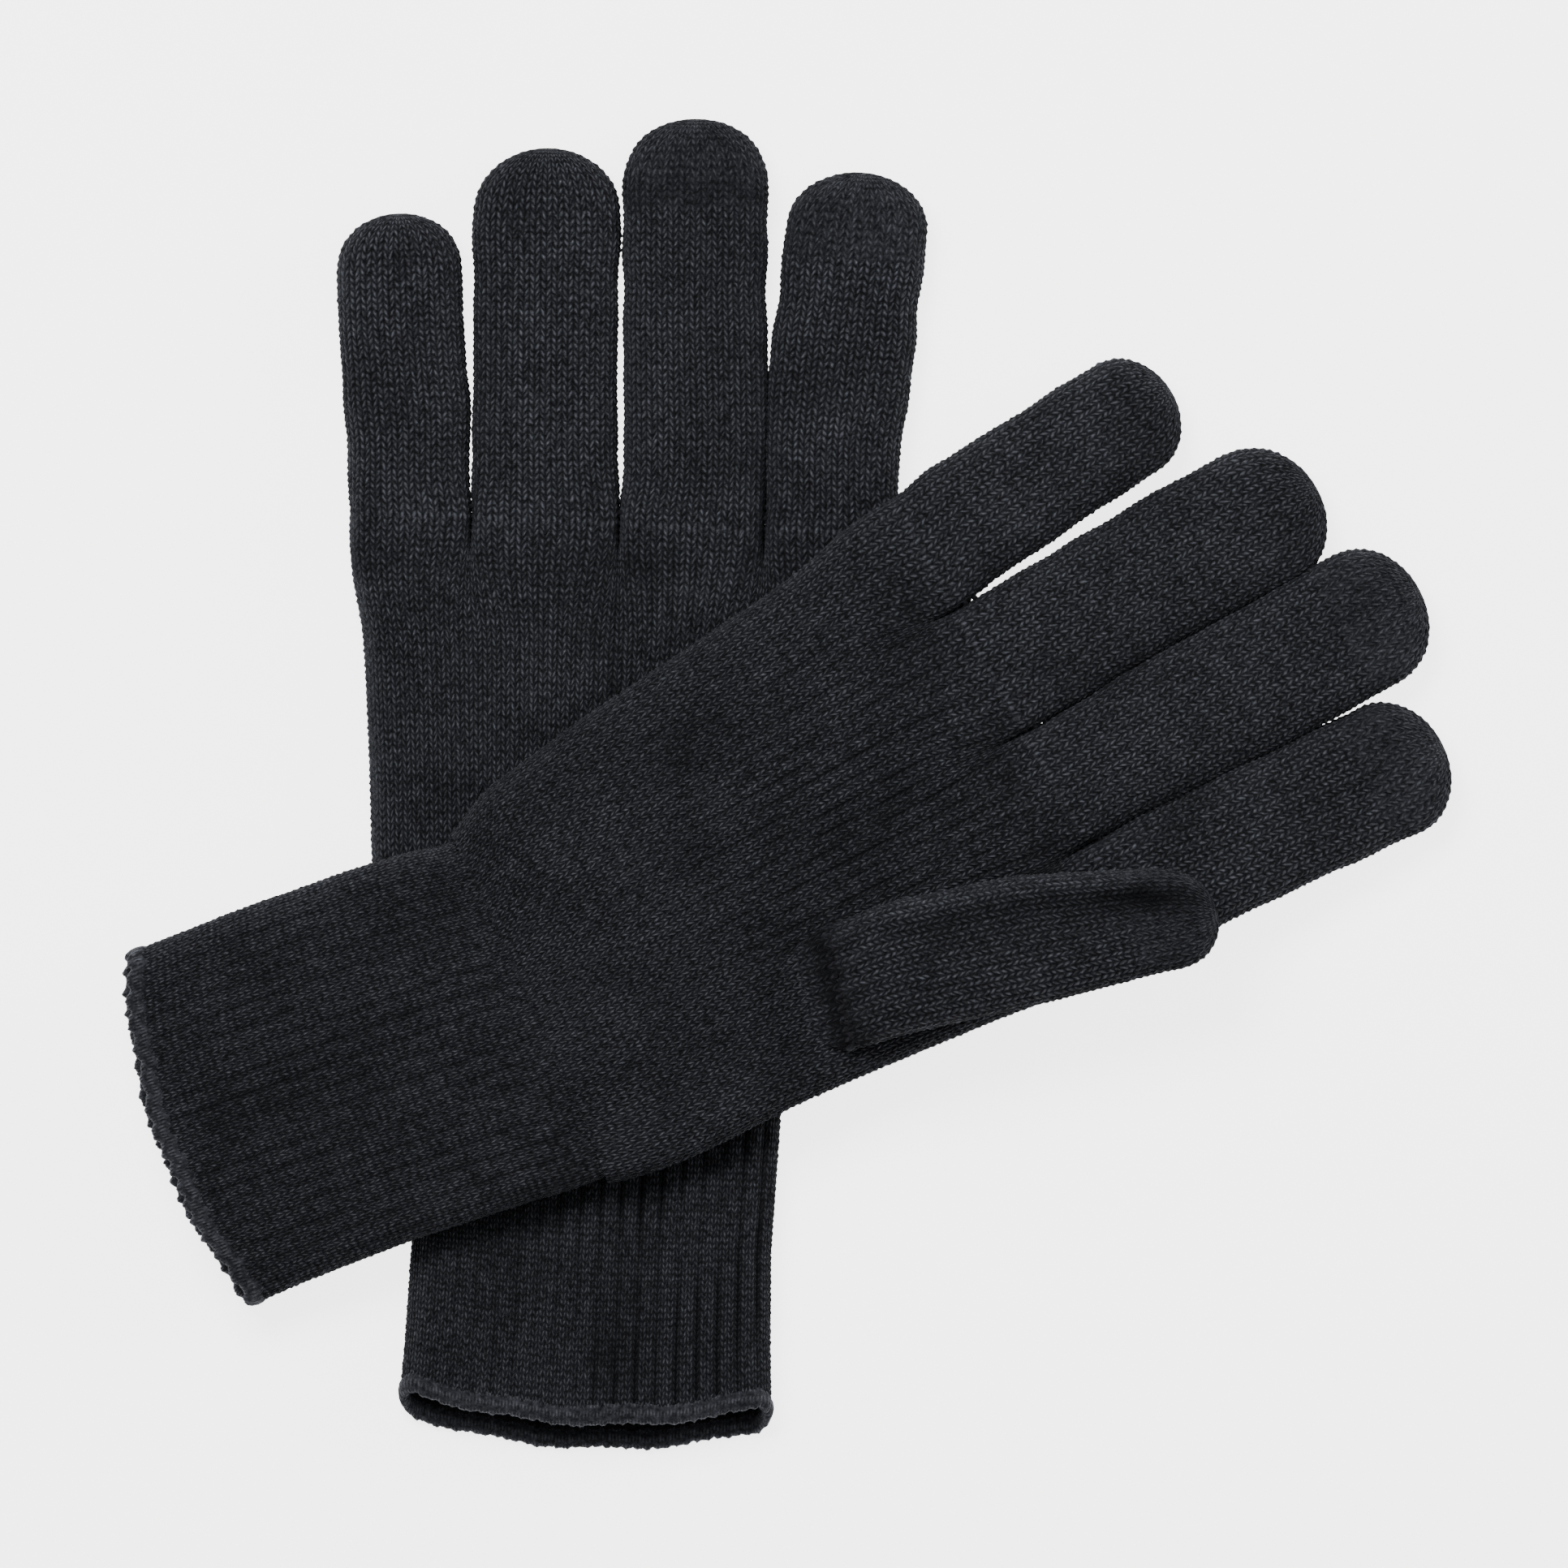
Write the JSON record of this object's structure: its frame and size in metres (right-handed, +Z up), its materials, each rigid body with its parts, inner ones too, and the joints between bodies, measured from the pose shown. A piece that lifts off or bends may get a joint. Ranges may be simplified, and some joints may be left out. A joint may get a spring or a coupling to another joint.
{
  "type": "touchscreen gloves",
  "caption": "Pair of plain knitted gloves laid crossed, one back up and one palm up, with ribbed cuffs and conductive yarn fingertips that work a touchscreen.",
  "frame": {"origin": "centre of the pair's bounding box, on the table plane", "axes": "+Z up from the table; +Y along the left glove towards its fingertips; +X towards the right glove's fingertips"},
  "size_m": [0.2404, 0.2384, 0.0246],
  "materials": {
    "knit": "matte plain knit, charcoal acrylic yarn",
    "rib": "matte ribbed knit, charcoal acrylic yarn",
    "hem": "overlocked charcoal yarn",
    "touch_yarn": "dark conductive yarn, plain knit",
    "stitch": "matte sewing yarn",
    "elastic": "covered rubber yarn"
  },
  "bodies": {
    "left_hand": {"left_hand": "knit", "left_cuff": "rib", "left_cuff_hem": "hem", "left_cuff_elastic": "elastic", "left_finger_seam": "stitch", "left_thumb_seam": "stitch"},
    "right_hand": {"right_hand": "knit", "right_cuff": "rib", "right_cuff_hem": "hem", "right_cuff_elastic": "elastic", "right_finger_seam": "stitch", "right_thumb_seam": "stitch"},
    "left_little": {"left_little_finger": "knit"},
    "left_ring": {"left_ring_finger": "knit"},
    "left_middle": {"left_middle_finger": "knit", "left_middle_tip": "touch_yarn"},
    "left_index": {"left_index_finger": "knit", "left_index_tip": "touch_yarn"},
    "left_thumb": {"left_thumb": "knit", "left_thumb_tip": "touch_yarn"},
    "right_little": {"right_little_finger": "knit"},
    "right_ring": {"right_ring_finger": "knit"},
    "right_middle": {"right_middle_finger": "knit", "right_middle_tip": "touch_yarn"},
    "right_index": {"right_index_finger": "knit", "right_index_tip": "touch_yarn"},
    "right_thumb": {"right_thumb": "knit", "right_thumb_tip": "touch_yarn"}
  },
  "joints": [
    {"name": "right_glove_lift", "type": "slide", "parent": "left_hand", "child": "right_hand", "axis": [0, 0, 1], "range_m": [0, 0.08]},
    {"name": "left_little_fold", "type": "hinge", "parent": "left_hand", "child": "left_little", "pos_m": [-0.06821, 0.05683, 0.0043], "axis": [0.999, 0.0436, 0], "range_deg": [0, 90]},
    {"name": "left_ring_fold", "type": "hinge", "parent": "left_hand", "child": "left_ring", "pos_m": [-0.04298, 0.0558, 0.0043], "axis": [1, 0, 0], "range_deg": [0, 90]},
    {"name": "left_middle_fold", "type": "hinge", "parent": "left_hand", "child": "left_middle", "pos_m": [-0.01621, 0.05467, 0.0043], "axis": [1, 0, 0], "range_deg": [0, 90]},
    {"name": "left_index_fold", "type": "hinge", "parent": "left_hand", "child": "left_index", "pos_m": [0.00911, 0.05361, 0.0043], "axis": [0.9968, -0.0802, 0], "range_deg": [0, 55]},
    {"name": "right_little_fold", "type": "hinge", "parent": "right_hand", "child": "right_little", "pos_m": [0.03189, 0.04674, 0.0132], "axis": [0.527, -0.8499, 0], "range_deg": [0, 100]},
    {"name": "right_ring_fold", "type": "hinge", "parent": "right_hand", "child": "right_ring", "pos_m": [0.04376, 0.02578, 0.0132], "axis": [0.4848, -0.8746, 0], "range_deg": [0, 100]},
    {"name": "right_middle_fold", "type": "hinge", "parent": "right_hand", "child": "right_middle", "pos_m": [0.05654, 0.00317, 0.0132], "axis": [0.4555, -0.8902, 0], "range_deg": [0, 100]},
    {"name": "right_index_swing", "type": "hinge", "parent": "right_hand", "child": "right_index", "pos_m": [0.06906, -0.01898, 0.0132], "axis": [0, 0, -1], "range_deg": [0, 12]},
    {"name": "left_thumb_swing", "type": "hinge", "parent": "left_hand", "child": "left_thumb", "pos_m": [0.02072, -0.02994, 0.0034], "axis": [0, 0, -1], "range_deg": [0, 14]},
    {"name": "right_thumb_fold", "type": "hinge", "parent": "right_hand", "child": "right_thumb", "pos_m": [0.01475, -0.03686, 0.0212], "axis": [0.2062, -0.9785, 0], "range_deg": [0, 90]}
  ]
}
